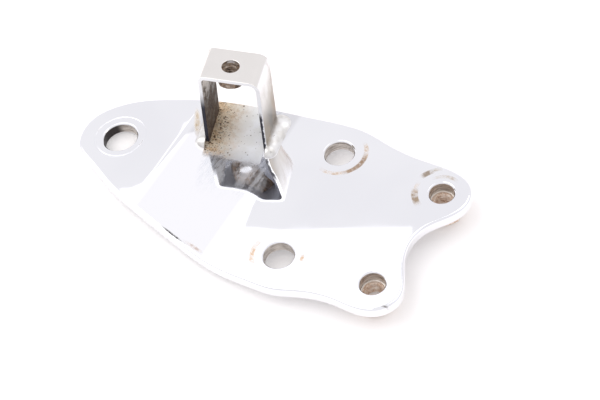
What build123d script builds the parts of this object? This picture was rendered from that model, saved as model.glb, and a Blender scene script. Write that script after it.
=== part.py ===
from build123d import *
import math
import os

# Footrest hanger: a stepped plate with five holes, a welded U bracket and weld nuts.
# Millimetres. +X runs along the plate toward the two end holes, +Y to its rear
# edge and +Z is the side that the bracket stands on. The origin is the rear middle
# bore, on the underside of the main panel.
os.makedirs("parts", exist_ok=True)

# Plate
plate_thickness = 4.5
edge_round = 1.2            # polished rounding of the outline's upper rim
edge_break = 0.4            # small chamfer of the outline's lower rim
rim_round = 0.5             # rolled upper rims of the holes
step_height = 3.8           # how much higher the tab lies than the main panel
tab_bend_x = -57.8          # where the slope meets the tab
panel_bend_x = -19.5        # where the slope meets the main panel
tab_bend_radius = 25.0
panel_bend_radius = 80.0

# Holes: centres and radii
panel_bore_radius = 5.5
end_hole_radius = 4.5
tab_bore_radius = 6.5
rear_middle = (0.0, 0.0)
front_middle = (2.4, -49.2)
rear_end = (42.8, -2.4)
front_end = (38.3, -46.8)
tab_bore = (-79.1, -27.3)

# Outline: rounded lobes about the holes, with free stations between them
tab_lobe_radius = 16.2
rear_middle_lobe_radius = 13.6
front_middle_lobe_radius = 14.3
rear_end_lobe_radius = 10.6
front_end_lobe_radius = 11.2
rear_flank = [(-82.7, -8.9), (-71.0, -3.1), (-52.9, 3.5), (-34.5, 8.4), (-16.0, 11.9)]
rear_hollow = [(15.8, 10.6), (28.2, 9.0)]
end_waist = [(44.1, -18.5), (42.3, -26.0), (44.2, -34.2)]
front_hollow = [(27.7, -58.0), (15.4, -60.2)]
front_flank = [(-16.0, -62.9), (-34.8, -59.2), (-53.4, -54.2), (-71.4, -48.0), (-83.0, -42.2)]

# Spot face ring round the tab bore
ring_radius = 9.6
ring_width = 0.8
ring_depth = 0.2

# U bracket: a bent strip that stands on the slope, turned about the plate's normal
strip_thickness = 1.5
bracket_width = 22.6        # across the legs at the top
bracket_depth = 15.8        # front to back
bracket_height = 33.2       # top face above the plate
left_spread = -0.9          # how much farther out the left leg stands at its foot
right_spread = 2.0          # the same for the right leg
left_corner_radius = 2.5    # outside radius of the two bends
right_corner_radius = 4.0
bracket_front = (-37.9, -13.1)   # plan position of the middle of the front edge
bracket_turn = 17.5
bracket_lean_right = 5.2
bracket_lean_rear = 5.6
bracket_hole_radius = 3.25
bracket_hole_left = 0.75    # the hole's place from the middle of the top
bracket_hole_back = -0.5

# Weld nuts: one under the bracket's top, two under the end holes
small_nut_across = 10.0
small_nut_height = 5.0
small_thread_radius = 2.5
large_nut_across = 13.0
large_nut_height = 6.3
large_thread_radius = 3.4
large_nut_turn = -20.0

# Weld beads along the outer foot of each leg
bead_radius = 3.3
bead_overrun = 1.5          # how far a bead runs past its leg at either end
bead_taper = 1.6            # how far its two ends are turned down

reach = 200.0               # longer than the plate, for cutting tools


def lobe(centre, radius, angles):
    """Points on a circle about a hole."""
    return [
        (centre[0] + radius * math.cos(math.radians(a)), centre[1] + radius * math.sin(math.radians(a)))
        for a in angles
    ]


def plan_outline():
    """Closed smooth curve through the lobes and the free stations, clockwise from the tab."""
    points = (
        lobe(tab_bore, tab_lobe_radius, (210, 186, 162, 138))
        + rear_flank
        + lobe(rear_middle, rear_middle_lobe_radius, (102, 78))
        + rear_hollow
        + lobe(rear_end, rear_end_lobe_radius, (85, 45, 5, -35))
        + end_waist
        + lobe(front_end, front_end_lobe_radius, (-8, -45, -82))
        + front_hollow
        + lobe(front_middle, front_middle_lobe_radius, (-75, -100))
        + front_flank
    )
    return Spline(*points, periodic=True)


def side_profile(low):
    """Side view of the plate: its stepped top face, and an underside 'low' below that."""
    slope = math.atan2(step_height, panel_bend_x - tab_bend_x)
    shift = plate_thickness * math.tan(slope / 2)
    t, s = plate_thickness, step_height
    points = [
        (-reach, s + t), (tab_bend_x + shift, s + t), (panel_bend_x + shift, t), (reach, t),
        (reach, t - low), (panel_bend_x, t - low), (tab_bend_x, s + t - low), (-reach, s + t - low),
    ]
    face = make_face(Plane.XZ * Polyline(*points, close=True))

    def corner(x, z):
        return face.vertices().sort_by_distance(Vector(x, 0, z))[0]

    face = fillet(corner(*points[1]), tab_bend_radius)
    face = fillet(face.vertices().sort_by_distance(Vector(points[2][0], 0, points[2][1]))[0], panel_bend_radius)
    if low == plate_thickness:
        under_tab = face.vertices().sort_by_distance(Vector(points[6][0], 0, points[6][1]))[0]
        face = fillet(under_tab, tab_bend_radius - t)
        under_panel = face.vertices().sort_by_distance(Vector(points[5][0], 0, points[5][1]))[0]
        face = fillet(under_panel, panel_bend_radius + t)
    return face


def slab(low):
    """The side profile drawn across the whole width."""
    return extrude(side_profile(low), reach / 2, both=True)


def middle_height(x):
    """Height of the plate's middle layer at x."""
    along = min(max((panel_bend_x - x) / (panel_bend_x - tab_bend_x), 0), 1)
    return plate_thickness / 2 + step_height * along


def outline_rims(solid, above):
    """The rims of the outline on the plate's upper or lower side."""
    curved = solid.edges().filter_by(lambda e: e.geom_type != GeomType.LINE and abs((e % 0.5).Z) < 0.2)
    return curved.filter_by(lambda e: ((e @ 0.5).Z > middle_height((e @ 0.5).X)) == above)


# Main plate: the slab cut to its outline, rounded above and broken below
plate = slab(plate_thickness) & extrude(make_face(plan_outline()), reach / 2, both=True)
plate = fillet(outline_rims(plate, above=True), edge_round)
plate = chamfer(outline_rims(plate, above=False), edge_break)

panel_holes = [
    (rear_middle, panel_bore_radius), (front_middle, panel_bore_radius),
    (rear_end, end_hole_radius), (front_end, end_hole_radius),
]
top_of = {centre: plate_thickness for centre, _ in panel_holes}
top_of[tab_bore] = plate_thickness + step_height
for centre, radius in panel_holes + [(tab_bore, tab_bore_radius)]:
    top = top_of[centre]
    plate -= Pos(*centre, top) * Cylinder(radius, reach)
    flare = Pos(*centre, top - rim_round / 2) * Cone(radius, radius + rim_round, rim_round)
    plate -= flare

ring = Cylinder(ring_radius + ring_width / 2, ring_depth) - Cylinder(ring_radius - ring_width / 2, ring_depth)
plate -= Pos(*tab_bore, top_of[tab_bore] - ring_depth / 2) * ring

# U bracket: drawn in its own frame (x across, y back, z up), then stood on the plate
slope = math.atan2(step_height, panel_bend_x - tab_bend_x)
foot_z = plate_thickness + (panel_bend_x - bracket_front[0]) * math.tan(slope)
up = Vector(
    math.sin(math.radians(bracket_lean_right)), math.sin(math.radians(bracket_lean_rear)), 1
).normalized()
turned = Vector(math.cos(math.radians(bracket_turn)), math.sin(math.radians(bracket_turn)), 0)
across = (turned - up * turned.dot(up)).normalized()
stand = Plane(origin=(*bracket_front, foot_z), x_dir=across, z_dir=up)

half, low_z = bracket_width / 2, -plate_thickness * 2
t = strip_thickness


def leg_x(spread, z, inset=0.0):
    """Distance of a leg's face from the middle at height z."""
    return half - inset + spread * (bracket_height - z) / bracket_height


def front_view(inset, top_z):
    """Corners of the U's outside (inset 0) or of its inside, from lower left to lower right."""
    return [
        (-leg_x(left_spread, low_z, inset), low_z), (-leg_x(left_spread, top_z, inset), top_z),
        (leg_x(right_spread, top_z, inset), top_z), (leg_x(right_spread, low_z, inset), low_z),
    ]


def across_face(points, shrink):
    """Front view of the U, closed below, with its two bends this much tighter than outside."""
    face = make_face(Plane.XZ * Polyline(*points, close=True))
    for corner, radius in ((points[1], left_corner_radius), (points[2], right_corner_radius)):
        bend = face.vertices().sort_by_distance(Vector(corner[0], 0, corner[1]))[0]
        face = fillet(bend, radius - shrink)
    return face


bent = across_face(front_view(0, bracket_height), 0)
bent -= across_face(front_view(t, bracket_height - t), t)
bent = extrude(bent, bracket_depth, dir=(0, 1, 0))
hole_place = Pos(-bracket_hole_left, bracket_depth / 2 + bracket_hole_back, bracket_height)
bent -= hole_place * Cylinder(bracket_hole_radius, reach)
under_surface = slab(reach)
u_bracket = stand.location * bent - under_surface


def weld_nut(across_flats, height, thread_radius):
    """Hexagon nut with turned corners; its seat is on z = 0 and it hangs below."""
    corner = across_flats / math.sqrt(3)
    body = extrude(RegularPolygon(corner, 6), -height)
    turned_rim = Pos(0, 0, -height / 2) * Cylinder(corner, height)
    body &= chamfer(turned_rim.edges().group_by(Axis.Z)[0], (corner - across_flats / 2) / 2)
    mouth = thread_radius * 1.2
    body -= Pos(0, 0, -height / 2) * Cylinder(thread_radius, height)
    body -= Pos(0, 0, -(mouth - thread_radius) / 2) * Cone(thread_radius, mouth, mouth - thread_radius)
    return body


seat = stand.location * hole_place * Pos(0, 0, -t)
bracket_nut = seat * weld_nut(small_nut_across, small_nut_height, small_thread_radius)
large_nut = Rot(0, 0, large_nut_turn) * weld_nut(large_nut_across, large_nut_height, large_thread_radius)
rear_nut = Pos(*rear_end, 0) * large_nut
front_nut = Pos(*front_end, 0) * large_nut


def weld_bead(foot_x):
    """Rounded run along a leg's outer foot, seated on the leg and on the plate."""
    run = bracket_depth + 2 * (bead_overrun + bead_taper)
    rod = Cylinder(bead_radius, run)
    rod = chamfer(rod.edges().filter_by(GeomType.CIRCLE), bead_taper)
    rod = Pos(foot_x, bracket_depth / 2, 0) * Rot(90, 0, 0) * rod
    return stand.location * rod - under_surface - stand.location * bent


left_bead = weld_bead(-leg_x(left_spread, 0))
right_bead = weld_bead(leg_x(right_spread, 0))

for name, shape in (
    ("main_plate", plate),
    ("u_bracket", u_bracket),
    ("bracket_nut", bracket_nut),
    ("rear_end_nut", rear_nut),
    ("front_end_nut", front_nut),
    ("left_weld_bead", left_bead),
    ("right_weld_bead", right_bead),
):
    export_step(shape, f"parts/{name}.step")
    box = shape.bounding_box()
    print(name, "solids", len(shape.solids()), "valid", shape.is_valid, box.min, box.max)
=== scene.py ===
# %% [markdown]
# # A chromed footrest hanger
#
# The object is a stepped steel plate with five holes. A bent steel strip, a U
# standing on its two legs, is welded to the slope between the plate's two levels.
# A small nut is welded under the strip's top and two larger nuts under the end
# holes, and all of it was chromed after welding. It is old: rust shows where a
# washer sat, in the bores and inside the U.
#
# The measured solids come in as a frame. The plate and the strip are copies of their
# solids with softer edges, and the nuts and the welds are modelled again.

# %% The frame and its box
import bpy
import math
from mathutils import Matrix, Vector


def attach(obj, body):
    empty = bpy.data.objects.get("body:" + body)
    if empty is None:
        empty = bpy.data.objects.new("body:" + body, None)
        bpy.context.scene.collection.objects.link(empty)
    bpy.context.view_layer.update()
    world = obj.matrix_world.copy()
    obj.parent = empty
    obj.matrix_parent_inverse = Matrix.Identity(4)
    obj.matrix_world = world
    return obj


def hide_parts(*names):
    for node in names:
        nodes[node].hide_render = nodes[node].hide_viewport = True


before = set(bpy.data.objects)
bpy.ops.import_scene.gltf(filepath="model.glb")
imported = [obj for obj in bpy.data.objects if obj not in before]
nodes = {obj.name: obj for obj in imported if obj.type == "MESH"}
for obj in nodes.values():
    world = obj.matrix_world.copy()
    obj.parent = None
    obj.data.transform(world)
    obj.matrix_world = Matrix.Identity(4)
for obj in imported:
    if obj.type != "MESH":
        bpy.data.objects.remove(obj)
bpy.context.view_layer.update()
MM = 0.001
print("solids in the frame:", sorted(nodes))

# %% [markdown]
# ## Sizes that several pieces share
#
# Some sizes are needed again and again, such as for the slope that the strip stands on
# or the cuts that seat the welds. They are those of the solids, each written once.

# %% Sizes of the plate and of the strip
PLATE_THICKNESS = 4.5 * MM
STEP_HEIGHT = 3.8 * MM
TAB_BEND_X = -57.8 * MM
PANEL_BEND_X = -19.5 * MM
SLOPE = math.atan2(STEP_HEIGHT, PANEL_BEND_X - TAB_BEND_X)
slope_up = Vector((math.sin(SLOPE), 0, math.cos(SLOPE)))
STRIP_WIDTH = 22.6 * MM
STRIP_DEPTH = 15.8 * MM
STRIP_HEIGHT = 33.2 * MM
STRIP_THICKNESS = 1.5 * MM
LEFT_SPREAD = -0.9 * MM     # how much farther out a leg stands at its foot
RIGHT_SPREAD = 2.0 * MM
print("the plate rises by", round(math.degrees(SLOPE), 1), "degrees toward its tab")

# %% [markdown]
# The strip is turned and leans, and the welds and the small nut lean with it. So its
# own directions are set up: x across the legs, y from front to back and z up the legs.
# What belongs to the strip is placed, or painted, in these directions.

# %% The strip's own directions
STRIP_TURN = math.radians(17.5)
LEAN_RIGHT = math.radians(5.2)
LEAN_REAR = math.radians(5.6)
strip_foot = Vector((-37.9 * MM, -13.1 * MM, 0))
strip_foot.z = PLATE_THICKNESS + (PANEL_BEND_X - strip_foot.x) * math.tan(SLOPE)
strip_up = Vector((math.sin(LEAN_RIGHT), math.sin(LEAN_REAR), 1)).normalized()
turned = Vector((math.cos(STRIP_TURN), math.sin(STRIP_TURN), 0))
strip_across = (turned - strip_up * turned.dot(strip_up)).normalized()
strip_back = strip_up.cross(strip_across)
strip_axes = Matrix((strip_across, strip_back, strip_up)).transposed().to_4x4()
strip_place = Matrix.Translation(strip_foot) @ strip_axes
print("the strip leans", round(math.degrees(strip_up.angle(Vector((0, 0, 1)))), 1), "degrees")

# %% [markdown]
# ## Making metal
#
# A picture could be wrapped round the part, but it is hard to fit and blurs close up.
# So all finishes are mixed from patterns, and small helpers put their shader nodes
# together. The first helpers do sums: a soft step makes a mask of 0 and 1 from any
# value, and a mask lays one colour or value over another.

# %% Sums, soft steps and blends
def as_input(tree, socket, value):
    """Links a socket to another, or sets it to a value."""
    if isinstance(value, bpy.types.NodeSocket):
        tree.links.new(value, socket)
    else:
        socket.default_value = value


def calc(tree, operation, a, b=0.0, clamp=False):
    """One step of arithmetic."""
    node = tree.nodes.new("ShaderNodeMath")
    node.operation = operation
    node.use_clamp = clamp
    as_input(tree, node.inputs[0], a)
    as_input(tree, node.inputs[1], b)
    return node.outputs[0]


def plus(tree, a, b):
    """The sum of two values."""
    return calc(tree, "ADD", a, b)


def both(tree, a, b):
    """Where both masks hold, or one mask made fainter by a factor."""
    return calc(tree, "MULTIPLY", a, b)


def either(tree, a, b):
    """Where at least one of two masks holds."""
    return calc(tree, "MAXIMUM", a, b)


def step(tree, value, start, end):
    """0 where the value is at start, 1 at end, smooth between; start may lie above end."""
    node = tree.nodes.new("ShaderNodeMapRange")
    node.interpolation_type = "SMOOTHSTEP"
    as_input(tree, node.inputs["Value"], value)
    node.inputs["From Min"].default_value = start
    node.inputs["From Max"].default_value = end
    return node.outputs["Result"]


def within(tree, value, low, high, soft):
    """1 between two values, falling to 0 over a soft margin outside them."""
    return both(tree, step(tree, value, low - soft, low), step(tree, value, high + soft, high))


def blend_colour(tree, amount, below, above):
    """The colour below, covered by the colour above as far as the amount says."""
    node = tree.nodes.new("ShaderNodeMix")
    node.data_type = "RGBA"
    as_input(tree, node.inputs["Factor"], amount)
    as_input(tree, node.inputs["A"], below if isinstance(below, bpy.types.NodeSocket) else (*below, 1))
    as_input(tree, node.inputs["B"], above if isinstance(above, bpy.types.NodeSocket) else (*above, 1))
    return node.outputs["Result"]


def blend_value(tree, amount, below, above):
    """The same for a plain value."""
    node = tree.nodes.new("ShaderNodeMix")
    as_input(tree, node.inputs["Factor"], amount)
    as_input(tree, node.inputs["A"], below)
    as_input(tree, node.inputs["B"], above)
    return node.outputs["Result"]


def names(*helpers):
    """The names of some helpers, to be printed."""
    return [helper.__name__ for helper in helpers]


print("sums:", names(calc, plus, both, either, step, within, blend_colour, blend_value))

# %% [markdown]
# Every mark has its place on the metal, so the masks start from the object's own
# coordinates, in metres. They stay on the part however it is turned or lit. These
# helpers measure a distance from a place, from an upright axis or along a direction.

# %% Places and distances
def place(tree):
    """Object coordinates, in metres."""
    return tree.nodes.new("ShaderNodeTexCoord").outputs["Object"]


def coordinate(tree, axis):
    """One of the object coordinates."""
    split = tree.nodes.new("ShaderNodeSeparateXYZ")
    tree.links.new(place(tree), split.inputs[0])
    return split.outputs[axis]


def vector_step(tree, operation, vector, constant):
    """One step of vector arithmetic with a constant vector."""
    node = tree.nodes.new("ShaderNodeVectorMath")
    node.operation = operation
    tree.links.new(vector, node.inputs[0])
    node.inputs[1].default_value = constant
    return node.outputs


def away_from(tree, centre):
    """Distance from a place."""
    return vector_step(tree, "DISTANCE", place(tree), centre)["Value"]


def away_from_axis(tree, centre):
    """Distance from an upright axis."""
    flat = vector_step(tree, "MULTIPLY", place(tree), (1, 1, 0))["Vector"]
    return vector_step(tree, "DISTANCE", flat, (centre[0], centre[1], 0))["Value"]


def along(tree, origin, direction):
    """How far a point lies from an origin along a direction."""
    shifted = vector_step(tree, "SUBTRACT", place(tree), origin)["Vector"]
    return vector_step(tree, "DOT_PRODUCT", shifted, direction)["Value"]


print("distances:", names(coordinate, away_from, away_from_axis, along))

# %% [markdown]
# Rust and wear are never even. Cloudy noise, cut by a soft step, gives ragged patches,
# and a cell pattern gives round pits of unlike sizes. Each finish is one Principled
# shader, and a faint bump makes a coarse place catch the light unevenly.

# %% Patterns and a new finish
def noise(tree, scale, detail=3.0, roughness=0.55, stretch=(1, 1, 1)):
    """Cloudy noise with features of about 1 / scale metres."""
    mapping = tree.nodes.new("ShaderNodeMapping")
    mapping.inputs["Scale"].default_value = stretch
    tree.links.new(place(tree), mapping.inputs["Vector"])
    node = tree.nodes.new("ShaderNodeTexNoise")
    node.inputs["Scale"].default_value = scale
    node.inputs["Detail"].default_value = detail
    node.inputs["Roughness"].default_value = roughness
    tree.links.new(mapping.outputs["Vector"], node.inputs["Vector"])
    return node.outputs["Fac"]


def patches(tree, scale, low, high, detail=3.0, roughness=0.55, stretch=(1, 1, 1)):
    """A mask of cloudy patches: 0 where the noise is below low, 1 where it is above high."""
    return step(tree, noise(tree, scale, detail, roughness, stretch), low, high)


def ragged(tree, value, scale, reach, detail=3.0, roughness=0.55):
    """A distance that wavers by a noise, half of the reach to either side."""
    waver = calc(tree, "SUBTRACT", noise(tree, scale, detail, roughness), 0.5)
    return plus(tree, value, both(tree, waver, reach))


def dots(tree, scale, size):
    """Round dots of unlike sizes, one in a cell of 1 / scale metres."""
    node = tree.nodes.new("ShaderNodeTexVoronoi")
    node.inputs["Scale"].default_value = scale
    tree.links.new(place(tree), node.inputs["Vector"])
    chance = tree.nodes.new("ShaderNodeSeparateColor")
    tree.links.new(node.outputs["Color"], chance.inputs[0])
    edge = calc(tree, "SUBTRACT", node.outputs["Distance"], both(tree, chance.outputs[0], size))
    return step(tree, edge, 0.05, -0.05)


def new_finish(name):
    """A new material, its node tree and its shader."""
    material = bpy.data.materials.new(name)
    material.use_nodes = True
    return material, material.node_tree, material.node_tree.nodes["Principled BSDF"]


def set_surface(tree, shader, colour, metallic, roughness):
    """Gives the shader its colour, how metallic it is and how rough."""
    as_input(tree, shader.inputs["Base Color"], colour)
    as_input(tree, shader.inputs["Metallic"], metallic)
    as_input(tree, shader.inputs["Roughness"], roughness)


def roughen(tree, shader, height, distance, strength):
    """Raises the surface's shading by a height pattern, in metres."""
    bump = tree.nodes.new("ShaderNodeBump")
    bump.inputs["Strength"].default_value = strength
    bump.inputs["Distance"].default_value = distance
    tree.links.new(height, bump.inputs["Height"])
    tree.links.new(bump.outputs["Normal"], shader.inputs["Normal"])


print("patterns:", names(noise, patches, ragged, dots))

# %% [markdown]
# ## The marks on the plate
#
# The real plate was ground, polished and plated. Rust starts where the chrome was damaged: in arcs where a
# washer's rim turned on it, along the rim of the plate and beside the welds. Such places are few, so they
# are listed, with their places, sizes and colours as in the photograph.

# %% Holes, washer arcs, stains and a painted dark reflection
HOLES = {  # centre in x and y, bore radius and height of the top face
    "tab": ((-79.1 * MM, -27.3 * MM), 6.5 * MM, PLATE_THICKNESS + STEP_HEIGHT),
    "rear middle": ((0, 0), 5.5 * MM, PLATE_THICKNESS),
    "front middle": ((2.4 * MM, -49.2 * MM), 5.5 * MM, PLATE_THICKNESS),
    "rear end": ((42.8 * MM, -2.4 * MM), 4.5 * MM, PLATE_THICKNESS),
    "front end": ((38.3 * MM, -46.8 * MM), 4.5 * MM, PLATE_THICKNESS),
}
TAN = (0.52, 0.39, 0.28)
ORANGE = (0.66, 0.45, 0.28)
WASHER_ARCS = [  # hole, inner and outer radius, direction in degrees, reach, cover, colour
    ("rear middle", 9.2, 10.5, -4, 5.2, 0.95, (0.31, 0.21, 0.14)),
    ("rear middle", 9.2, 10.3, -34, 4.6, 0.95, (0.33, 0.23, 0.16)),
    ("rear middle", 9.2, 10.2, -72, 7.0, 0.72, TAN),
    ("rear middle", 9.5, 10.6, 27, 5.0, 0.72, TAN),
    ("rear end", 8.7, 10.6, 214, 4.6, 1.00, (0.33, 0.25, 0.18)),
    ("rear end", 9.2, 10.1, 190, 3.6, 0.55, TAN),
    ("rear end", 9.7, 11.3, 146, 3.2, 0.95, (0.30, 0.24, 0.19)),
    ("rear end", 10.4, 11.4, 126, 2.6, 0.60, (0.40, 0.34, 0.27)),
    ("rear end", 6.9, 7.8, 104, 5.6, 0.66, (0.42, 0.35, 0.28)),
    ("front middle", 9.0, 10.2, 196, 6.5, 0.70, ORANGE),
    ("front middle", 8.2, 9.0, 15, 2.0, 0.62, ORANGE),
]
STAINS_AND_PAINTED_REFLECTION = [  # place, half length, half width, turn in degrees, cover, grain, colour
    ((-55.2, -9.9, 8.0), 9.0, 1.6, -57, 0.90, 110, (0.52, 0.40, 0.25)),
    ((-49.5, -17.5, 7.5), 2.2, 1.6, 0, 0.60, 300, (0.20, 0.17, 0.15)),
    ((46.4, -53.6, 4.5), 1.6, 0.5, 25, 0.75, 300, (0.14, 0.12, 0.11)),
    # The next row is no stain: a near-black line at the slope's front rim, a painted dark reflection.
    ((-36.3, -57.6, 6.0), 8.5, 0.6, -14, 1.00, 300, (0.03, 0.025, 0.025)),
    ((-27.5, -58.6, 5.0), 5.5, 1.0, -10, 0.60, 300, (0.42, 0.29, 0.22)),
]
print(len(HOLES), "holes,", len(WASHER_ARCS), "washer arcs and", len(STAINS_AND_PAINTED_REFLECTION), "stains")

# %% [markdown]
# A rusty mark has no clean border: it is a thin tint with darker flecks in it. So each
# mark is a soft mask, an arc or a long patch, that noise then breaks up. The more it
# covers, the lower the noise's threshold and the stronger the tint.

# %% Masks for arcs and stains
ARC_SOFTNESS = 0.5 * MM
ARC_GRAIN = 420
STAIN_DEPTH = 1.8 * MM      # how far below its place a stain reaches before it fades
STAIN_FADE = 0.7 * MM


def broken_up(tree, mask, cover, grain):
    """A soft mask with darker flecks in it: the higher the cover, the more of them."""
    flecks = patches(tree, grain, 0.64 - 0.30 * cover, 0.84 - 0.30 * cover, 5.0, 0.65)
    layers = plus(tree, both(tree, flecks, 0.65), 0.42 * cover)
    return calc(tree, "MULTIPLY", mask, layers, clamp=True)


def washer_arc(tree, arc):
    """An arc of rust left by a washer's rim, strongest in one direction."""
    name, inner, outer, degrees, reach, cover, _ = arc
    (x, y), _, top = HOLES[name]
    band = within(tree, away_from_axis(tree, (x, y)), inner * MM, outer * MM, ARC_SOFTNESS)
    middle = (inner + outer) / 2 * MM
    heading = math.radians(degrees)
    side = (x + middle * math.cos(heading), y + middle * math.sin(heading), top)
    near = step(tree, away_from(tree, side), reach * MM, reach * 0.3 * MM)
    return broken_up(tree, both(tree, band, near), cover, ARC_GRAIN)


def stain_or_painted_reflection(tree, row):
    """A long or round patch, on the upper side alone."""
    (x, y, z), length, width, degrees, cover, grain, _ = row
    centre = (x * MM, y * MM, z * MM)
    heading = math.radians(degrees)
    ahead = along(tree, centre, (math.cos(heading) / (length * MM), math.sin(heading) / (length * MM), 0))
    aside = along(tree, centre, (-math.sin(heading) / (width * MM), math.cos(heading) / (width * MM), 0))
    away = calc(tree, "SQRT", plus(tree, both(tree, ahead, ahead), both(tree, aside, aside)))
    low_end = z * MM - STAIN_DEPTH
    high = step(tree, coordinate(tree, "Z"), low_end - STAIN_FADE, low_end)
    return broken_up(tree, both(tree, step(tree, away, 1.0, 0.2), high), cover, grain)


def with_marks(tree, colour):
    """Lays all arcs, stains and the painted dark reflection over a colour, and also gives their joint mask.
    """
    marks = [(washer_arc(tree, arc), arc[-1]) for arc in WASHER_ARCS]
    marks += [(stain_or_painted_reflection(tree, row), row[-1]) for row in STAINS_AND_PAINTED_REFLECTION]
    rust_and_painted_reflection = 0.0
    for mask, tint in marks:
        colour = blend_colour(tree, mask, colour, tint)
        rust_and_painted_reflection = either(tree, rust_and_painted_reflection, mask)
    return colour, rust_and_painted_reflection


print("masks:", names(washer_arc, stain_or_painted_reflection, with_marks))

# %% [markdown]
# ### Inside the bores
#
# Plating is thin inside a hole, so the bores' walls are duller than the top: mottled grey and beige. The
# left of the tab's bore is painted nearly black, a painted dark reflection. The wall is what lies near a
# hole's axis and below its polished rim.

# %% The walls of the bores
RIM_WIDTH = 0.5 * MM
RIM_DEPTH = 0.35 * MM
WALL_DARK = (0.36, 0.32, 0.29)
WALL_PALE = (0.74, 0.69, 0.64)
TAB_BORE_PAINTED_DARK = (0.045, 0.04, 0.04)
PAINTED_DARK_SIDE = (-1, -0.25, 0)


def bore_wall(tree, hole):
    """The inside wall of a bore, below its polished rim."""
    (x, y), radius, top = hole
    wall = step(tree, away_from_axis(tree, (x, y)), radius + RIM_WIDTH, radius + RIM_WIDTH / 2)
    below = step(tree, coordinate(tree, "Z"), top - RIM_DEPTH, top - 2 * RIM_DEPTH)
    return both(tree, wall, below)


def with_bores(tree, colour):
    """Lays the walls' colours over a colour, and also gives the walls' mask."""
    walls = 0.0
    for hole in HOLES.values():
        walls = either(tree, walls, bore_wall(tree, hole))
    mottled = patches(tree, 600, 0.35, 0.65, 4.0, 0.6, stretch=(0.5, 0.5, 3))
    colour = blend_colour(tree, walls, colour, blend_colour(tree, mottled, WALL_DARK, WALL_PALE))
    (x, y), _, _ = HOLES["tab"]
    # The left of the tab's bore is painted nearly black, a painted dark reflection.
    to_left = step(tree, along(tree, (x, y, 0), PAINTED_DARK_SIDE), 0.5 * MM, 4 * MM)
    painted_dark_reflection = both(tree, bore_wall(tree, HOLES["tab"]), to_left)
    return blend_colour(tree, painted_dark_reflection, colour, TAB_BORE_PAINTED_DARK), walls


print("bores with radii in millimetres:", [round(radius / MM, 2) for _, radius, _ in HOLES.values()])

# %% [markdown]
# ### Between and before the legs
#
# No polishing wheel reached between the legs of the U, so the plate there is bare,
# satin and yellowed, with brown haze and pits crowded toward the left leg. Its front
# border is ragged. The chrome just before it is scratched milky, over a wider field.

# %% Where the plate is bare and where it is worn
BARE_LEFT = -9.9 * MM       # measured across the strip
BARE_RIGHT = 11.7 * MM
BARE_START = -8.5 * MM      # measured toward the rear from the U's front edge
BARE_FULL = -4.0 * MM
WORN_LEFT = -8 * MM
WORN_RIGHT = 14 * MM
WORN_START = -26 * MM
WORN_FULL = -12 * MM
LEGS_LOW = 10 * MM          # the mask ends above this height, to spare the strip
LEGS_HIGH = 12 * MM


def toward_rear(tree):
    """Distance behind the U's front edge, ragged and a little aslant."""
    back = ragged(tree, along(tree, strip_foot, strip_back), 200, 4 * MM, 4.0, 0.6)
    return plus(tree, back, both(tree, along(tree, strip_foot, strip_across), 0.10))


def between_legs(tree):
    """The bare plate between the legs."""
    sides = within(tree, along(tree, strip_foot, strip_across), BARE_LEFT, BARE_RIGHT, 0.6 * MM)
    behind = step(tree, toward_rear(tree), BARE_START, BARE_FULL)
    low = step(tree, coordinate(tree, "Z"), LEGS_HIGH, LEGS_LOW)
    return both(tree, both(tree, sides, behind), low)


def before_legs(tree):
    """The field before the legs where the chrome is scratched."""
    sides = within(tree, along(tree, strip_foot, strip_across), WORN_LEFT, WORN_RIGHT, 3 * MM)
    return both(tree, step(tree, toward_rear(tree), WORN_START, WORN_FULL), sides)


print("bare strip between the legs:", round((BARE_RIGHT - BARE_LEFT) / MM, 1), "mm wide")

# %% [markdown]
# The bare steel itself is five layers: yellow at the left and cool white at the right,
# clouds of grey, a darker front, a brown haze toward the left leg, and pits in two
# sizes that grow and crowd where the haze is.

# %% The colour of the bare steel
YELLOWED = (0.68, 0.55, 0.38)
COOL_WHITE = (0.97, 0.98, 1.0)
CLOUD_GREY = (0.70, 0.68, 0.60)
FRONT_GREY = (0.40, 0.41, 0.44)
BROWN_HAZE = (0.54, 0.38, 0.23)
PIT_BROWN = (0.10, 0.055, 0.03)
FINE_PITS = 2100            # cells in a metre
COARSE_PITS = 850


def bare_steel(tree):
    """The colour of the bare steel, and the mask of its pits."""
    across = along(tree, strip_foot, strip_across)
    colour = blend_colour(tree, step(tree, across, -9 * MM, 7 * MM), YELLOWED, COOL_WHITE)
    clouds = both(tree, patches(tree, 190, 0.35, 0.65, 4.0, 0.6), 0.35)
    colour = blend_colour(tree, clouds, colour, CLOUD_GREY)
    forward = step(tree, along(tree, strip_foot, strip_back), 2 * MM, -7 * MM)
    colour = blend_colour(tree, both(tree, forward, 0.6), colour, FRONT_GREY)
    wavering = plus(tree, across, both(tree, noise(tree, 150, 2.0), 7 * MM))
    leftward = step(tree, wavering, 8 * MM, -5 * MM)
    haze = both(tree, leftward, patches(tree, 420, 0.40, 0.62, 5.0, 0.7))
    colour = blend_colour(tree, haze, colour, BROWN_HAZE)
    fine = dots(tree, FINE_PITS, blend_value(tree, leftward, 0.0, 0.55))
    coarse = dots(tree, COARSE_PITS, blend_value(tree, leftward, 0.19, 0.36))
    pits = either(tree, fine, coarse)
    return blend_colour(tree, pits, colour, PIT_BROWN), pits


print("pits of about", round(1 / FINE_PITS / MM, 1), "and", round(1 / COARSE_PITS / MM, 1), "mm apart")

# %% [markdown]
# ## The chrome of the plate
#
# Chrome is a mirror, so it is a nearly white metal with very little roughness, and what it mirrors gives it
# its look. The slope is painted a touch greyer than the rest, as in the photograph: a painted shade for the
# dimmer light that it mirrors. Then the marks go on, one over the other. Rusty and bare places are less
# metallic and much rougher than the chrome about them.

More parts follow.
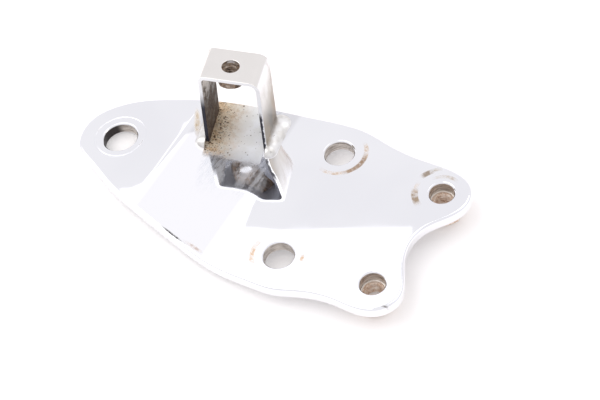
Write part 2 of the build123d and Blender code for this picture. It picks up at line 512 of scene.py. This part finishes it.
# %% All layers of the plate's chrome
CHROME = (0.93, 0.93, 0.95)
CLOUDED_CHROME = (0.90, 0.90, 0.925)
SLOPE_PAINTED_SHADE = (0.785, 0.78, 0.80)
MILKY_BLUE = (0.60, 0.63, 0.70)


def on_slope(tree):
    """The upper side of the slope between the two bends."""
    middle = within(tree, coordinate(tree, "X"), TAB_BEND_X + 3.5 * MM, PANEL_BEND_X - 4 * MM, 2.5 * MM)
    above = step(tree, along(tree, strip_foot, slope_up), -0.25 * MM, -0.05 * MM)
    return both(tree, middle, above)


def chrome_plate_finish():
    """The plate's chrome with all its marks."""
    material, tree, shader = new_finish("plate_chrome")
    colour = blend_colour(tree, patches(tree, 30, 0.35, 0.7, detail=2.0), CHROME, CLOUDED_CHROME)
    # The slope's greyer tone is a painted shade.
    colour = blend_colour(tree, on_slope(tree), colour, SLOPE_PAINTED_SHADE)
    colour, rust_and_painted_reflection = with_marks(tree, colour)

    bare, worn = between_legs(tree), before_legs(tree)
    streaks = patches(tree, 260, 0.40, 0.62, 4.0, 0.65, stretch=(1.6, 0.6, 1))
    milky = both(tree, worn, blend_value(tree, streaks, 0.06, 0.42))
    colour = blend_colour(tree, milky, colour, MILKY_BLUE)
    steel, pits = bare_steel(tree)
    colour = blend_colour(tree, bare, colour, steel)
    colour, walls = with_bores(tree, colour)

    dull = either(tree, either(tree, rust_and_painted_reflection, both(tree, bare, 0.75)), milky)
    rough = blend_value(tree, patches(tree, 55, 0.45, 0.75, detail=2.0), 0.02, 0.045)
    for mask, roughness in ((worn, 0.07), (rust_and_painted_reflection, 0.65), (bare, 0.50), (walls, 0.38)):
        rough = blend_value(tree, mask, rough, roughness)
    set_surface(tree, shader, colour, blend_value(tree, dull, 1.0, 0.1), rough)
    height = calc(tree, "SUBTRACT", noise(tree, 24, 1.0), both(tree, pits, bare))
    roughen(tree, shader, height, 0.03 * MM, 0.25)
    return material


plate_chrome = chrome_plate_finish()
print("the plate's finish has", len(plate_chrome.node_tree.nodes), "nodes")

# %% [markdown]
# ## Helpers for modelling
#
# Blender's tools act on what is selected and active, so these helpers set that first.
# A modifier stays open to changes until it is applied, which fixes it in the mesh.

# %% Selecting, cutting and joining
def deselect_all():
    """Leaves any edit mode, with nothing selected."""
    if bpy.context.object and bpy.context.object.mode != "OBJECT":
        bpy.ops.object.mode_set(mode="OBJECT")
    bpy.ops.object.select_all(action="DESELECT")


def work_on(piece):
    """Makes one object the only selected and active one."""
    deselect_all()
    piece.select_set(True)
    bpy.context.view_layer.objects.active = piece


def edit_faces(piece, wanted):
    """Opens a piece's mesh for editing, with the faces selected that pass a test."""
    work_on(piece)
    bpy.ops.object.mode_set(mode="EDIT")
    bpy.ops.mesh.select_mode(type="FACE")
    bpy.ops.mesh.select_all(action="DESELECT")
    bpy.ops.object.mode_set(mode="OBJECT")
    for face in piece.data.polygons:
        face.select = wanted(face)
    bpy.ops.object.mode_set(mode="EDIT")


def edit_all(piece):
    """Opens a piece's mesh for editing, with all of it selected."""
    work_on(piece)
    bpy.ops.object.mode_set(mode="EDIT")
    bpy.ops.mesh.select_all(action="SELECT")


def apply_all(piece):
    """Applies a piece's modifiers in their order."""
    work_on(piece)
    for modifier in list(piece.modifiers):
        bpy.ops.object.modifier_apply(modifier=modifier.name)


def combine(piece, tool, operation):
    """Cuts a closed tool out of a piece, or keeps what both hold, and deletes the tool."""
    boolean = piece.modifiers.new("cut", "BOOLEAN")
    boolean.operation = operation
    boolean.object = tool
    apply_all(piece)
    bpy.data.objects.remove(tool)


def join(first, others):
    """Joins pieces into the first."""
    deselect_all()
    for piece in others + [first]:
        piece.select_set(True)
    bpy.context.view_layer.objects.active = first
    bpy.ops.object.join()


print("modelling:", names(edit_faces, edit_all, apply_all, combine, join))

# %% [markdown]
# A finished piece is an object at the origin with its place in its mesh, its normals
# outward and its finishes on. It then rides on the frame's only body and names the
# solid that it stands for, which is hidden in its stead.

# %% Finishing a piece
def put_in_place(piece, matrix):
    """Moves the mesh itself, so that the object stays at the origin."""
    piece.data.transform(matrix)
    piece.data.update()


def smooth(piece, degrees):
    """Shades smoothly over edges flatter than an angle."""
    work_on(piece)
    bpy.ops.object.shade_smooth_by_angle(angle=math.radians(degrees))


def normals_out(piece):
    """Turns all faces to look outward."""
    edit_all(piece)
    bpy.ops.mesh.normals_make_consistent(inside=False)
    bpy.ops.object.mode_set(mode="OBJECT")


def dress(piece, *finishes):
    """Gives a piece its finishes, the first for all its faces."""
    piece.data.materials.clear()
    for finish in finishes:
        piece.data.materials.append(finish)
    for face in piece.data.polygons:
        face.material_index = 0


def stand_for(piece, node, slot):
    """Ties a finished piece to the solid that it replaces."""
    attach(piece, "root")
    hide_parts(node)
    print(piece.name, "stands for", node, "with", len(piece.data.polygons), "faces")


print("finishing:", names(put_in_place, smooth, normals_out, dress, stand_for))

# %% [markdown]
# ## The U strip
#
# The real one is flat bar, folded twice in a press. Its cut edges were only lightly
# broken before plating, and those small roundings catch the light as thin white lines.
# It could be built from a plane with thickness and bevels, but the solid has the right
# bends and feet already. So a copy of it is merged into one skin, and a narrow bevel
# breaks all its sharp edges at once.

# %% A copy of a solid with broken edges
SAME_POINT = 0.002 * MM
FLAT_ANGLE = math.radians(0.1)


def merged_copy(node, name):
    """A copy of a solid's mesh as one closed skin."""
    piece = nodes[node].copy()
    piece.data = nodes[node].data.copy()
    piece.name = name
    bpy.context.collection.objects.link(piece)
    edit_all(piece)
    bpy.ops.mesh.remove_doubles(threshold=SAME_POINT)
    bpy.ops.mesh.dissolve_limited(angle_limit=FLAT_ANGLE)
    bpy.ops.object.mode_set(mode="OBJECT")
    return piece


def round_edges(piece, width, segments, sharper_than):
    """Rounds all edges sharper than an angle."""
    bevel = piece.modifiers.new("broken edges", "BEVEL")
    bevel.width = width
    bevel.segments = segments
    bevel.limit_method = "ANGLE"
    bevel.angle_limit = math.radians(sharper_than)
    apply_all(piece)


def break_edges(piece, width, sharper_than):
    """Rounds sharp edges, and keeps the flat faces looking flat."""
    round_edges(piece, width, 3, sharper_than)
    smooth(piece, 40)
    even = piece.modifiers.new("even shading", "WEIGHTED_NORMAL")
    even.keep_sharp = True
    even.weight = 80
    apply_all(piece)


strip = merged_copy("u_bracket", "u_strip")
break_edges(strip, 0.3 * MM, 50)
print("strip faces:", len(strip.data.polygons))

# %% [markdown]
# ### The strip's chrome
#
# Outside, the top is chrome with a faint warm cloud, and the legs are stained beige toward their feet, in
# streaks that run down. Their rear edges are rusty. Just above their feet the legs are darkened further, a
# painted shade where they meet the plate and the welds. Masks by height, by side and by depth in the
# strip's own directions put each tint in place.

# %% Chrome with beige stains
LEG_INNER = 10.2 * MM       # from here outward a point belongs to a leg
LEG_OUTER = 10.9 * MM
TOP_CHROME = (0.90, 0.87, 0.84)
LEG_GREY = (0.54, 0.51, 0.47)
FOOT_PAINTED_SHADE = (0.26, 0.245, 0.23)
BEIGE_STREAKS = (0.40, 0.34, 0.27)
TOP_CLOUD = (0.74, 0.71, 0.67)
REAR_RUST = (0.30, 0.19, 0.12)


def strip_chrome_finish():
    """The outside of the U strip."""
    material, tree, shader = new_finish("strip_chrome")
    height = along(tree, strip_foot, strip_up)
    out = calc(tree, "ABSOLUTE", along(tree, strip_foot, strip_across))
    leg = step(tree, out, LEG_INNER, LEG_OUTER)
    low = both(tree, leg, step(tree, height, 36 * MM, 8 * MM))
    foot = both(tree, leg, step(tree, height, 21 * MM, 6 * MM))
    streaks = patches(tree, 170, 0.32, 0.68, 4.0, 0.6, stretch=(1, 1, 0.35))
    cloud = both(tree, calc(tree, "SUBTRACT", 1.0, leg), noise(tree, 90, 3.0))
    rear = step(tree, along(tree, strip_foot, strip_back), 11 * MM, 15 * MM)
    brown = both(tree, both(tree, rear, leg), streaks)

    colour = blend_colour(tree, leg, TOP_CHROME, CHROME)
    colour = blend_colour(tree, low, colour, LEG_GREY)
    # Painted shade just above the legs' feet.
    colour = blend_colour(tree, foot, colour, FOOT_PAINTED_SHADE)
    colour = blend_colour(tree, both(tree, low, streaks), colour, BEIGE_STREAKS)
    colour = blend_colour(tree, both(tree, cloud, 0.55), colour, TOP_CLOUD)
    colour = blend_colour(tree, both(tree, brown, 0.7), colour, REAR_RUST)
    rough = blend_value(tree, noise(tree, 120, 3.0), 0.14, 0.26)
    rough = blend_value(tree, low, rough, 0.36)
    set_surface(tree, shader, colour, blend_value(tree, brown, 1.0, 0.4), rough)
    roughen(tree, shader, noise(tree, 60, 1.0), 0.05 * MM, 0.4)
    return material


strip_chrome = strip_chrome_finish()
print("the strip's chrome has", len(strip_chrome.node_tree.nodes), "nodes")

# %% [markdown]
# ### Inside the U
#
# Plating hardly reaches into a U, so the legs' inner faces rusted brown, most of all
# low down. The underside of the top stayed a dark steel blue, which the plate mirrors
# before the legs. Both are one recipe: thin plating with rust breaking through, where
# the cover says how much of it.

# %% Thin plating with rust through it
RUST_START = 1.12           # the sum of two noises at which rust begins, with no cover
RUST_FULL = 1.32


def inside_finish(name, bare, bare_low, rust_below, rust_above, cover):
    """Thin dark plating with rust through it, in two tints each."""
    material, tree, shader = new_finish(name)
    grain = noise(tree, 1400, 4.0, 0.7)
    low = step(tree, along(tree, strip_foot, strip_up), 29 * MM, 15 * MM)
    uneven = plus(tree, noise(tree, 300, 5.0, 0.65), both(tree, grain, 0.5))
    uneven = plus(tree, uneven, both(tree, low, 0.20))
    rust = step(tree, uneven, RUST_START - cover, RUST_FULL - cover)
    rust_colour = blend_colour(tree, step(tree, grain, 0.42, 0.6), rust_below, rust_above)
    colour = blend_colour(tree, rust, blend_colour(tree, low, bare, bare_low), rust_colour)
    metal = blend_value(tree, rust, 0.60, 0.2)
    set_surface(tree, shader, colour, metal, blend_value(tree, rust, 0.38, 0.75))
    roughen(tree, shader, grain, 0.12 * MM, 0.7)
    return material


rusty_legs = inside_finish(
    "strip_inside_legs", bare=(0.52, 0.47, 0.42), bare_low=(0.11, 0.095, 0.085),
    rust_below=(0.045, 0.027, 0.019), rust_above=(0.15, 0.105, 0.07), cover=0.34)
STEEL_BLUE = (0.30, 0.32, 0.38)
steel_under = inside_finish(
    "strip_underside", bare=STEEL_BLUE, bare_low=STEEL_BLUE,
    rust_below=(0.05, 0.05, 0.06), rust_above=(0.16, 0.16, 0.19), cover=0.20)
print("inside finishes:", rusty_legs.name, steel_under.name)

# %% [markdown]
# ### The cut front edges
#
# The strip's front edges were sheared and never polished. They are chrome at the top, and lower down they
# are painted black, a painted dark reflection: the left one over its whole thickness, the right one only
# along its inner side, with a ragged border.

# %% Bright and black cut edges
EDGE_BRIGHT = (0.95, 0.95, 0.95)
EDGE_PAINTED_REFLECTION = (0.022, 0.022, 0.035)
LEFT_HEIGHTS = (26 * MM, 17 * MM)       # where the black begins, and where it is full
RIGHT_HEIGHTS = (20 * MM, 16 * MM)


def cut_edge_finish():
    """The cut front edges: chrome at the top, painted black lower down as a painted dark reflection."""
    material, tree, shader = new_finish("strip_cut_edge")
    height = along(tree, strip_foot, strip_up)
    out = ragged(tree, along(tree, strip_foot, strip_across), 700, 1.2 * MM)
    spread = both(tree, calc(tree, "SUBTRACT", STRIP_HEIGHT, height), RIGHT_SPREAD / STRIP_HEIGHT)
    inner_face = plus(tree, STRIP_WIDTH / 2 - STRIP_THICKNESS, spread)
    past_inner = calc(tree, "SUBTRACT", out, inner_face)
    right = both(tree, step(tree, past_inner, 1.10 * MM, 0.80 * MM), step(tree, out, 0.0, 2 * MM))
    right = both(tree, right, step(tree, height, *RIGHT_HEIGHTS))
    left = both(tree, step(tree, out, 0.0, -2 * MM), step(tree, height, *LEFT_HEIGHTS))
    dark = either(tree, left, right)
    # Lower down the edges are painted black, a painted dark reflection.
    colour = blend_colour(tree, dark, EDGE_BRIGHT, EDGE_PAINTED_REFLECTION)
    metal = blend_value(tree, dark, 1.0, 0.4)
    set_surface(tree, shader, colour, metal, blend_value(tree, dark, 0.32, 0.42))
    return material


cut_edges = cut_edge_finish()
print("edges turn black below", [round(heights[0] / MM) for heights in (LEFT_HEIGHTS, RIGHT_HEIGHTS)], "mm")

# %% [markdown]
# A piece can hold several materials, and each face has the number of its own. A face
# of the strip is sorted by its place and by the way it looks, both in the strip's own
# directions: downward inside the U, toward the middle inside the U, or to the front.

# %% Sorting the strip's faces
OUTSIDE, LEG_INSIDE, TOP_UNDERSIDE, CUT_EDGE = range(4)
to_strip = strip_place.inverted()
inside_reach = STRIP_WIDTH / 2 - 0.6 * STRIP_THICKNESS + RIGHT_SPREAD
inside_top = STRIP_HEIGHT - 0.6 * STRIP_THICKNESS


def finish_number(face):
    """The number of the finish that a face of the strip gets."""
    middle = to_strip @ face.center
    normal = (to_strip.to_3x3() @ face.normal).normalized()
    inside = abs(middle.x) < inside_reach and middle.z < inside_top
    if normal.y < -0.8:
        return CUT_EDGE
    if inside and normal.z < -0.5:
        return TOP_UNDERSIDE
    if inside and normal.x * middle.x < -0.3 * abs(middle.x):
        return LEG_INSIDE
    return OUTSIDE


dress(strip, strip_chrome, rusty_legs, steel_under, cut_edges)
faces_by_finish = [0, 0, 0, 0]
for face in strip.data.polygons:
    face.material_index = finish_number(face)
    faces_by_finish[face.material_index] += 1
stand_for(strip, "u_bracket", "bracket_chrome")
print("faces by finish:", faces_by_finish)

# %% [markdown]
# ## The main plate
#
# The plate is a blank of thick sheet, pressed to two levels, with its rim ground
# round. A merged copy of the solid keeps its shape. A bevel rounds what is sharp on
# it: the mouths of the bores, the ring about the tab's bore and the lower rim, which
# are soft from polishing and show as thin bright crescents. The large flat faces then
# get flat shading normals, or their mirror images would bend near every hole.

# %% Soft rims and flat mirrors
def flatten_shading(piece, smallest):
    """Lets the large flat faces mirror as one plane, whatever rims they meet."""
    edit_faces(piece, lambda face: face.area > smallest)
    bpy.ops.mesh.set_normals_from_faces(keep_sharp=True)
    bpy.ops.object.mode_set(mode="OBJECT")


plate = merged_copy("main_plate", "plate")
break_edges(plate, 0.16 * MM, 30)
flatten_shading(plate, 6 * MM * MM)
dress(plate, plate_chrome)
stand_for(plate, "main_plate", "plate_chrome")

# %% [markdown]
# ## Threads and nuts
#
# The nuts are plain hexagon nuts, welded on before plating. Seen down through a hole,
# the crests of the thread catch the light. A picture of stripes would not do that, so
# the thread is modelled: a small diamond, half of it in the wall, is screwed upward
# round the axis.

# %% The ridge of a thread
THREAD_STEPS = 40           # straight pieces in one turn


def thread_ridge(crest, root, low, high, pitch):
    """The ridge of a thread, from the root in the wall to its crest in the bore."""
    deselect_all()
    bpy.ops.mesh.primitive_circle_add(
        vertices=4, radius=pitch / 2, fill_type="NGON", location=(root, 0, low),
        rotation=(math.pi / 2, 0, 0), scale=((root - crest) / (pitch / 2), 1, 1))
    ridge = bpy.context.object
    bpy.ops.object.transform_apply()
    screw = ridge.modifiers.new("climb", "SCREW")
    screw.axis = "Z"
    screw.screw_offset = pitch
    screw.iterations = max(1, round((high - low) / pitch))
    screw.steps = THREAD_STEPS
    screw.use_normal_calculate = True
    apply_all(ridge)
    return ridge


print("a thread's ridge has", THREAD_STEPS, "steps in a turn")

# %% [markdown]
# The nut's body is a six-sided cylinder. Its lower corners are turned off, as a lathe
# does it, by keeping only what a round blank with a chamfer also holds. Then a bore is
# cut out, the edges are worn by a small bevel, and the thread's ridge is joined in.

# %% The body of a nut
LARGE_NUT_ACROSS = 13 * MM
LARGE_NUT_HEIGHT = 6.3 * MM
ROUND_SIDES = 96


def cylinder(sides, radius, depth, **spot):
    """A new upright cylinder, centred on the origin unless a spot is given."""
    deselect_all()
    bpy.ops.mesh.primitive_cylinder_add(vertices=sides, radius=radius, depth=depth, **spot)
    return bpy.context.object


def turned_blank(radius, height, turned_off):
    """A round blank whose lower rim is turned down, as a lathe does it."""
    blank = cylinder(ROUND_SIDES, radius, height * 2)
    edit_faces(blank, lambda face: face.normal.z < -0.9)
    bpy.ops.mesh.bevel(offset=turned_off, segments=1, affect="EDGES")
    bpy.ops.object.mode_set(mode="OBJECT")
    return blank


def hexagon_nut(name, across, height, crest, root, pitch, matrix):
    """A nut that hangs below z = 0, with a thread, put in its place."""
    corner = across / math.sqrt(3)
    nut = cylinder(6, corner, height, location=(0, 0, -height / 2), rotation=(0, 0, math.pi / 6))
    nut.name = name
    bpy.ops.object.transform_apply()
    combine(nut, turned_blank(corner * 1.0001, height, corner - across / 2), "INTERSECT")
    combine(nut, cylinder(ROUND_SIDES, root, height * 3), "DIFFERENCE")
    round_edges(nut, 0.12 * MM, 2, 40)
    join(nut, [thread_ridge(crest, root + 0.02 * MM, -height + pitch / 2, -pitch / 2, pitch)])
    put_in_place(nut, matrix)
    smooth(nut, 35)
    return nut


large_corners = LARGE_NUT_ACROSS / math.cos(math.pi / 6)
print("a large nut measures", round(large_corners / MM, 1), "mm across its corners")

# %% [markdown]
# ### The nuts' steel
#
# Inside the holes the nuts are brown and beige with rust. The end nuts' steel is painted much lighter than
# the top nut's, a painted light for their threads seen lit down the holes. The ledge of each end nut that
# shows through the plate's hole gets a painted highlight, so the finish has a part that acts only near the
# nut's upper face.

# %% Rusty steel for the nuts
LEDGE_PAINTED_HIGHLIGHT = (0.90, 0.84, 0.78)


def nut_finish(name, bare, rust_below, rust_above, painted_ledge_highlight):
    """Thinly plated steel with rust, and a painted highlight on the ledge near its upper face."""
    material, tree, shader = new_finish(name)
    grain = noise(tree, 1600, 3.0, 0.7)
    uneven = plus(tree, noise(tree, 420, 4.0, 0.65), both(tree, grain, 0.4))
    rust = step(tree, uneven, 0.50, 0.78)
    rust_colour = blend_colour(tree, step(tree, grain, 0.4, 0.62), rust_below, rust_above)
    # A painted highlight on the end nuts' ledge, near the upper face.
    painted_highlight = both(tree, step(tree, coordinate(tree, "Z"), -0.3 * MM, -0.1 * MM), painted_ledge_highlight)
    colour = blend_colour(tree, rust, bare, rust_colour)
    colour = blend_colour(tree, painted_highlight, colour, LEDGE_PAINTED_HIGHLIGHT)
    metal = blend_value(tree, painted_highlight, blend_value(tree, rust, 0.9, 0.35), 0.7)
    set_surface(tree, shader, colour, metal, blend_value(tree, rust, 0.35, 0.62))
    roughen(tree, shader, grain, 0.1 * MM, 0.6)
    return material


top_nut_steel = nut_finish(
    "nut_steel_dark", bare=(0.55, 0.47, 0.40),
    rust_below=(0.08, 0.05, 0.035), rust_above=(0.36, 0.25, 0.17), painted_ledge_highlight=0.0)
# The end nuts' steel is painted much lighter than the top nut's: painted light for their threads seen lit
# down the holes.
end_nut_steel_painted_light = nut_finish(
    "nut_steel", bare=(0.97, 0.90, 0.83),
    rust_below=(0.60, 0.41, 0.29), rust_above=(0.95, 0.82, 0.70), painted_ledge_highlight=1.0)
print("nut finishes:", top_nut_steel.name, end_nut_steel_painted_light.name)

# %% [markdown]
# ### The three nuts in their places
#
# The two large nuts hang flat under the end holes, both turned the same way. The
# small one hangs under the strip's top and leans with it, so the strip's own matrix
# carries it there.

# %% Two large nuts and a small one
LARGE_NUT_TURN = Matrix.Rotation(math.radians(-20), 4, "Z")
END_NUTS = (  # name, solid and hole
    ("rear_nut", "rear_end_nut", "rear end"),
    ("front_nut", "front_end_nut", "front end"),
)
for name, node, hole in END_NUTS:
    (x, y), _, _ = HOLES[hole]
    spot = Matrix.Translation((x, y, 0)) @ LARGE_NUT_TURN
    nut = hexagon_nut(name, across=LARGE_NUT_ACROSS, height=LARGE_NUT_HEIGHT, crest=3.4 * MM,
                      root=4.0 * MM, pitch=1.25 * MM, matrix=spot)
    dress(nut, end_nut_steel_painted_light)
    stand_for(nut, node, "nut_steel")

TOP_HOLE = Vector((-0.75 * MM, STRIP_DEPTH / 2 - 0.5 * MM, STRIP_HEIGHT))
seat = strip_place @ Matrix.Translation(TOP_HOLE - Vector((0, 0, STRIP_THICKNESS)))
top_nut = hexagon_nut("top_nut", across=10 * MM, height=5.0 * MM, crest=2.5 * MM, root=3.0 * MM,
                      pitch=1.0 * MM, matrix=seat)
dress(top_nut, top_nut_steel)
stand_for(top_nut, "bracket_nut", "nut_steel")

# %% [markdown]
# ## The weld beads
#
# Each leg is welded to the plate along its outer foot. A hand-laid bead is a row of
# overlapping drops, each frozen before the next, and plating softens it further. So
# flattened balls are set along the foot, remeshed into one skin and relaxed until
# only a soft, uneven lip is left.

# %% Drops along a foot, relaxed into one skin
SKIN_VOXEL = 0.22 * MM
RELAX_TURNS = 150


def lip(name, foot_x, drops):
    """A skin round a row of drops, in the strip's own directions."""
    balls = []
    for back, out, wide, long, high in drops:
        deselect_all()
        bpy.ops.mesh.primitive_uv_sphere_add(
            segments=32, ring_count=16, radius=1.0,
            location=(foot_x + out * MM, back * MM, 0), scale=(wide * MM, long * MM, high * MM))
        balls.append(bpy.context.object)
        bpy.ops.object.transform_apply()
    piece, *others = balls
    join(piece, others)
    piece.name = name
    skin = piece.modifiers.new("one skin", "REMESH")
    skin.mode = "VOXEL"
    skin.voxel_size = SKIN_VOXEL
    relax = piece.modifiers.new("relax", "SMOOTH")
    relax.factor = 0.5
    relax.iterations = RELAX_TURNS
    apply_all(piece)
    return piece


print("a bead's skin has faces of", round(SKIN_VOXEL / MM, 2), "mm, relaxed", RELAX_TURNS, "times")

# %% [markdown]
# Half of that lip would lie inside the plate and the leg. Two straight cuts take it
# off, one just under the slope's face and one just inside the leg's face, and close
# the skin again. So the bead sits on both without a gap.

# %% A bead cut to its plate and its leg
CUT_BELOW = 0.15 * MM
CUT_INSIDE = 0.4 * MM


def bead(name, node, foot_x, drops, finish):
    """A finished bead at the foot of a leg."""
    piece = lip(name, foot_x, drops)
    put_in_place(piece, strip_place)
    side = 1 if foot_x > 0 else -1
    on_leg = strip_place @ Vector((foot_x - side * CUT_INSIDE, 0, 0))
    on_plate = strip_foot - slope_up * CUT_BELOW
    for spot, normal in ((on_plate, -slope_up), (on_leg, -side * strip_across)):
        edit_all(piece)
        bpy.ops.mesh.bisect(plane_co=spot, plane_no=normal, use_fill=True, clear_outer=True)
    bpy.ops.object.mode_set(mode="OBJECT")
    normals_out(piece)
    smooth(piece, 60)
    dress(piece, finish)
    stand_for(piece, node, "weld_chrome")
    return piece


print("beads are cut", CUT_BELOW / MM, "mm below the slope's face")

# %% [markdown]
# Plated weld metal is chrome too, but it could not be polished: it is rougher, a
# little grey in clouds, and pitted.

# %% The two beads
WELD_PALE = (0.92, 0.91, 0.90)
WELD_GREY = (0.72, 0.70, 0.67)
WELD_PIT = (0.16, 0.12, 0.09)
LEFT_DROPS = [  # how far back, how far out, half width, half length and half height, in millimetres
    (-0.6, 0.0, 4.0, 3.0, 3.0),
    (4.6, 0.0, 3.8, 7.4, 3.1),
    (9.6, 0.1, 3.8, 7.4, 3.1),
    (14.6, 0.1, 4.0, 3.9, 3.0),
]
RIGHT_DROPS = [
    (-0.4, 0.3, 3.9, 3.6, 3.0),
    (4.4, 0.6, 4.2, 7.8, 3.1),
    (9.0, 1.1, 4.7, 8.0, 3.1),
    (13.2, 1.8, 5.2, 5.2, 3.2),
]


def weld_finish():
    """Chrome over unpolished weld metal."""
    material, tree, shader = new_finish("weld_chrome")
    pits = patches(tree, 900, 0.66, 0.71, 3.0, 0.6)
    colour = blend_colour(tree, patches(tree, 260, 0.35, 0.65, detail=4.0), WELD_PALE, WELD_GREY)
    colour = blend_colour(tree, pits, colour, WELD_PIT)
    set_surface(tree, shader, colour, 1.0, blend_value(tree, pits, 0.34, 0.6))
    roughen(tree, shader, noise(tree, 300, 2.0, 0.5), 0.08 * MM, 0.4)
    return material


weld_chrome = weld_finish()
left_foot = -(STRIP_WIDTH / 2 + LEFT_SPREAD)
right_foot = STRIP_WIDTH / 2 + RIGHT_SPREAD
left_bead = bead("left_bead", "left_weld_bead", left_foot, LEFT_DROPS, weld_chrome)
right_bead = bead("right_bead", "right_weld_bead", right_foot, RIGHT_DROPS, weld_chrome)

# %% [markdown]
# ## The floor
#
# The hanger rests on its two large nuts and on the tip of the tab, so the floor lies
# a little aslant in its frame. It is plain and nearly white. It glows a little where
# it is seen, directly or in the chrome, so that it fades to white as in the
# photograph and still keeps the soft shadow under the plate.

# %% A plain pale floor
FLOOR_SIZE = 6.0
FLOOR_GAP = 0.05 * MM
NUT_EDGE = Vector((31.2 * MM, 0, -LARGE_NUT_HEIGHT))
TAB_TIP = Vector((-95.3 * MM, 0, STEP_HEIGHT))
FLOOR_LIT = (0.80, 0.79, 0.79)
FLOOR_SEEN = (0.86, 0.84, 0.835)
FLOOR_GLOW = 0.19


def floor_finish():
    """A matt floor that glows a little where it is seen."""
    material, tree, shader = new_finish("floor_white")
    shader.inputs["Roughness"].default_value = 0.9
    shader.inputs["Specular IOR Level"].default_value = 0.0
    rays = tree.nodes.new("ShaderNodeLightPath").outputs
    seen = either(tree, rays["Is Camera Ray"], rays["Is Glossy Ray"])
    as_input(tree, shader.inputs["Base Color"], blend_colour(tree, seen, FLOOR_LIT, FLOOR_SEEN))
    shader.inputs["Emission Color"].default_value = (1.0, 0.99, 0.985, 1)
    as_input(tree, shader.inputs["Emission Strength"], both(tree, seen, FLOOR_GLOW))
    return material


tilt = math.atan2(TAB_TIP.z - NUT_EDGE.z, NUT_EDGE.x - TAB_TIP.x)
deselect_all()
bpy.ops.mesh.primitive_plane_add(
    size=FLOOR_SIZE, location=NUT_EDGE - Vector((0, 0, FLOOR_GAP)), rotation=(0, tilt, 0))
floor = bpy.context.object
floor.name = "floor"
dress(floor, floor_finish())
print("the floor lies", round(math.degrees(tilt), 2), "degrees aslant")

# %% [markdown]
# ## Light
#
# Chrome shows what it mirrors, so the room is built as the plate should see it. It is
# a pale tent, a touch cooler than white, and a large soft lamp hangs over the table.
# The flat top mirrors the tent in its rear half and the lamp in its front half.

# %% The tent
TENT_COLOUR = (0.955, 0.95, 0.98, 1)
TENT_STRENGTH = 0.97
world = bpy.data.worlds.new("tent")
bpy.context.scene.world = world
world.use_nodes = True
background = world.node_tree.nodes["Background"]
background.inputs["Color"].default_value = TENT_COLOUR
background.inputs["Strength"].default_value = TENT_STRENGTH
print("the tent's strength is", TENT_STRENGTH)

# %% [markdown]
# The lamp is built from flat pieces side by side. Its bright part, straight above,
# lights the dull steel and the floor. The rim, the flap and the narrow strip beside it
# are what the plate, the slope and the tab's bend mirror toward the camera. They are
# dim, because a mirror needs only a little more than the tent to turn white, and their
# outline gives the white fields their borders. One more lamp lights the right leg.

# %% The soft lamps
LAMP_HEIGHT = 1.0
LAMP_HEADING = math.radians(114.6)
LAMPS = [  # name, near and far end ahead, far and near side to the left, brightness
    ("overhead_lamp", -0.57, 0.50, 1.84, 0.09, 1.35),
    ("overhead_rim", 0.499, 0.727, 1.84, 0.09, 0.30),
    ("lamp_flap", 0.726, 0.772, 1.20, 0.36, 0.30),
    ("bend_lamp", 0.726, 0.87, 0.36, 0.318, 0.30),
    ("side_lamp", -0.20, 0.75, -0.30, -1.20, 0.6),
]


def soft_lamp(name, near, far, left, right, brightness):
    """A flat lamp that faces down, between distances ahead of the hanger and to its left."""
    shape = bpy.data.lights.new(name, "AREA")
    shape.shape = "RECTANGLE"
    shape.size = left - right
    shape.size_y = far - near
    shape.energy = brightness * math.pi * shape.size * shape.size_y
    lamp = bpy.data.objects.new(name, shape)
    bpy.context.collection.objects.link(lamp)
    ahead = Vector((math.cos(LAMP_HEADING), math.sin(LAMP_HEADING), 0))
    to_left = Vector((-ahead.y, ahead.x, 0))
    lamp.location = ahead * (near + far) / 2 + to_left * (left + right) / 2 + Vector((0, 0, LAMP_HEIGHT))
    lamp.rotation_euler = (0, 0, LAMP_HEADING - math.pi / 2)
    return lamp


for row in LAMPS:
    lamp = soft_lamp(*row)
    print(lamp.name, "gives", round(lamp.data.energy, 2), "watts")

# %% [markdown]
# ## The camera
#
# The photograph looks down on the plate at about 50 degrees, from the side of its
# long front edge and a little from the right. Its three directions and its place were
# fitted to the ellipses of the five holes and to the corners of the strip.

# %% The camera
CAMERA_PLACE = (0.21649, -0.28758, 0.41872)
CAMERA_RIGHT = Vector((0.86140, 0.48608, -0.14739))
CAMERA_UP = Vector((-0.30273, 0.72431, 0.61946))
CAMERA_BACK = Vector((0.40786, -0.48898, 0.77107))
camera = bpy.data.objects.new("camera", bpy.data.cameras.new("camera"))
bpy.context.collection.objects.link(camera)
camera.data.lens = 90
camera.data.sensor_width = 36
camera_turn = Matrix((CAMERA_RIGHT, CAMERA_UP, CAMERA_BACK)).transposed().to_4x4()
camera.matrix_world = Matrix.Translation(CAMERA_PLACE) @ camera_turn
bpy.context.scene.camera = camera
bpy.context.scene.view_settings.view_transform = "Standard"
print("the camera looks down by", round(math.degrees(math.asin(CAMERA_BACK.z)), 1), "degrees")
